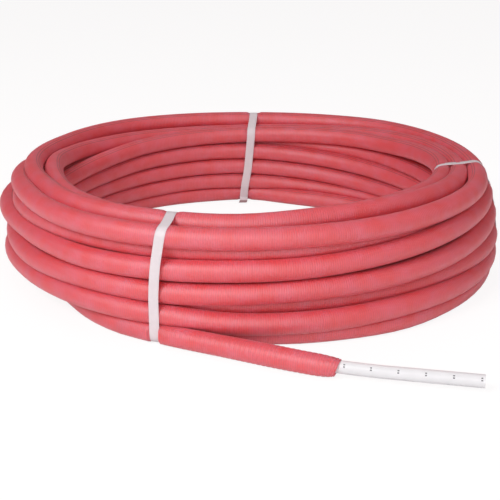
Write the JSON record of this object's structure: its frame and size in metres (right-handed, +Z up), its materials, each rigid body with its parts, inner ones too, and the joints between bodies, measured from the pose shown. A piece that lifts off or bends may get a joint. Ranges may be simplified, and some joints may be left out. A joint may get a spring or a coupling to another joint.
{
  "type": "pex pipe coil",
  "caption": "Round coil of foam-covered plastic water pipe lying flat, tied with flat plastic straps, one bare pipe end led out along the floor.",
  "frame": {"origin": "on the coil's axis, level with the ground the coil lies on", "axes": "+Z up along the coil's axis; +Y away from the side where the free end leaves; +X to the right, the way the free end runs"},
  "size_m": [0.8199, 0.9529, 0.166],
  "materials": {
    "foam": "soft matt foam with fine embossed ribs",
    "pipe": "smooth milky satin",
    "strap": "lightly embossed satin band"
  },
  "bodies": {
    "root": {"foam_cover": "foam", "water_pipe": "pipe", "front_strap": "strap", "back_strap": "strap", "side_strap": "strap"}
  },
  "joints": []
}
